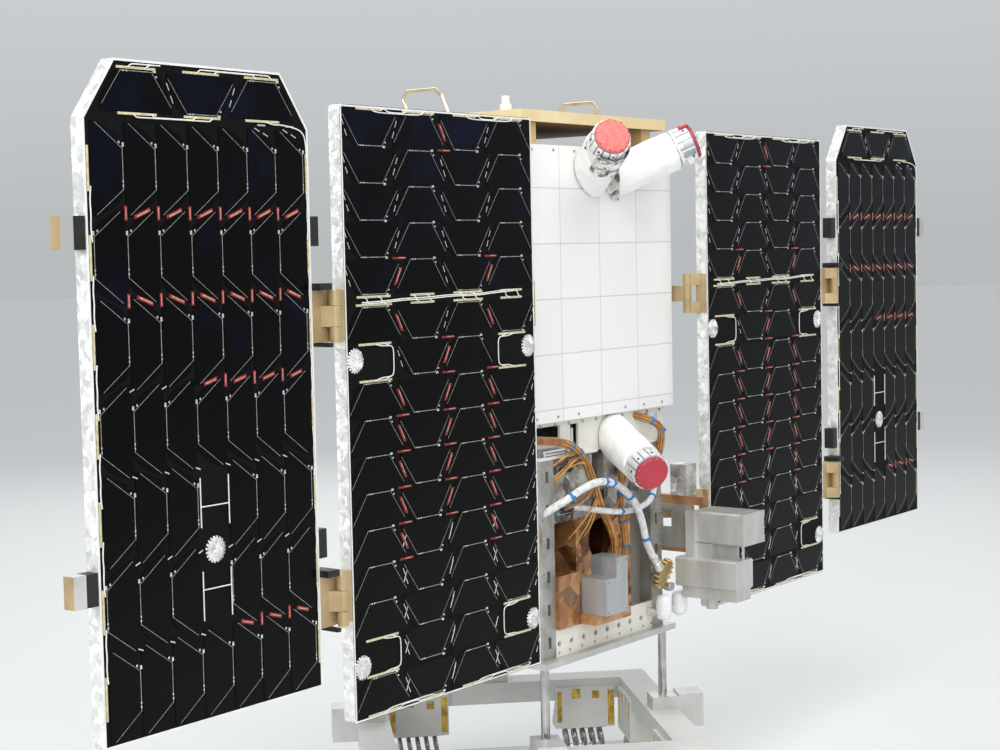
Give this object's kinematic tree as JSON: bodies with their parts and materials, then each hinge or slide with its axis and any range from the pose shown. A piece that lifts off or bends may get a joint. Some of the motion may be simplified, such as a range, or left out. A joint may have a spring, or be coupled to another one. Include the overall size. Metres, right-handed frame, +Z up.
{
  "type": "small satellite",
  "caption": "Box satellite with two folding solar wings on its sides, an open equipment bay below, star trackers in front, a lifting plate on top and a ground stand.",
  "frame": {"origin": "on the floor, under the middle of the bus", "axes": "+X along the wings to the right seen from the front, +Y from the front with the radiator to the rear, +Z up"},
  "size_m": [2.006, 0.6916, 1.0756],
  "materials": {
    "white_paint": "satin",
    "white_rail": "satin",
    "panel_sandwich": "matt",
    "solar_cell": "gloss",
    "bare_aluminium": "satin",
    "alodined_aluminium": "satin",
    "plate_aluminium": "satin",
    "black_composite": "matt",
    "kapton_film": "gloss",
    "wrap_fabric": "soft",
    "coral_cap": "gloss",
    "red_cap": "gloss",
    "steel": "satin",
    "stand_paint": "satin",
    "white_cord": "soft"
  },
  "bodies": {
    "bus": {"radiator_panel": "white_paint", "rear_panel": "white_paint", "side_panels": "white_paint", "top_deck": "bare_aluminium", "middle_deck": "bare_aluminium", "lifting_plate": "plate_aluminium", "plate_spacers": "alodined_aluminium", "lifting_handles": "steel", "lifting_knob": "steel", "bottom_deck": "bare_aluminium", "bay_columns": "bare_aluminium", "bay_side_walls": "white_paint", "bay_rear_wall": "bare_aluminium", "lower_rail": "white_rail", "upper_rail": "white_rail", "avionics_stack": "bare_aluminium", "wrapped_tank_box": "kapton_film", "lower_wrapped_box": "kapton_film", "rear_electronics_box": "bare_aluminium", "stepped_box": "bare_aluminium", "window_bracket": "bare_aluminium", "outrigger_bars": "alodined_aluminium", "box_mount": "bare_aluminium", "upper_aluminium_box": "bare_aluminium", "lower_aluminium_box": "bare_aluminium", "upper_tracker_wraps": "wrap_fabric", "lower_tracker_wrap": "wrap_fabric", "tracker_rings": "bare_aluminium", "upper_tracker_caps": "coral_cap", "lower_tracker_cap": "red_cap", "stand_frame": "stand_paint", "stand_base": "stand_paint", "wire_rope_isolators": "steel", "stand_posts": "steel", "post_clamps": "bare_aluminium", "bay_harness": "white_cord", "root_hinge_bus_right": "alodined_aluminium", "root_hinge_bus_left": "alodined_aluminium"},
    "right_inner_wing": {"inner_panel_right": "panel_sandwich", "inner_cells_right": "solar_cell", "inner_hold_down_discs_right": "bare_aluminium", "root_hinge_panel_right": "alodined_aluminium", "middle_hinge_inner_right": "alodined_aluminium"},
    "right_outer_wing": {"outer_panel_right": "panel_sandwich", "outer_cells_right": "solar_cell", "outer_hold_down_disc_right": "bare_aluminium", "shoulder_tabs_right": "black_composite", "shoulder_blocks_right": "alodined_aluminium", "middle_hinge_outer_right": "alodined_aluminium"},
    "left_inner_wing": {"inner_panel_left": "panel_sandwich", "inner_cells_left": "solar_cell", "inner_hold_down_discs_left": "bare_aluminium", "root_hinge_panel_left": "alodined_aluminium", "middle_hinge_inner_left": "alodined_aluminium"},
    "left_outer_wing": {"outer_panel_left": "panel_sandwich", "outer_cells_left": "solar_cell", "outer_hold_down_disc_left": "bare_aluminium", "shoulder_tabs_left": "black_composite", "shoulder_blocks_left": "alodined_aluminium", "middle_hinge_outer_left": "alodined_aluminium"}
  },
  "joints": [
    {"name": "right_root_hinge", "type": "hinge", "parent": "bus", "child": "right_inner_wing", "pos_m": [0.207, -0.184, 0.604], "axis": [0, 0, 1], "range_deg": [0, 90]},
    {"name": "right_middle_hinge", "type": "hinge", "parent": "right_inner_wing", "child": "right_outer_wing", "pos_m": [0.6215, -0.22, 0.604], "axis": [0, 0, -1], "range_deg": [0, 180]},
    {"name": "left_root_hinge", "type": "hinge", "parent": "bus", "child": "left_inner_wing", "pos_m": [-0.207, -0.184, 0.604], "axis": [0, 0, -1], "range_deg": [0, 90]},
    {"name": "left_middle_hinge", "type": "hinge", "parent": "left_inner_wing", "child": "left_outer_wing", "pos_m": [-0.6215, -0.22, 0.604], "axis": [0, 0, 1], "range_deg": [0, 180]}
  ]
}
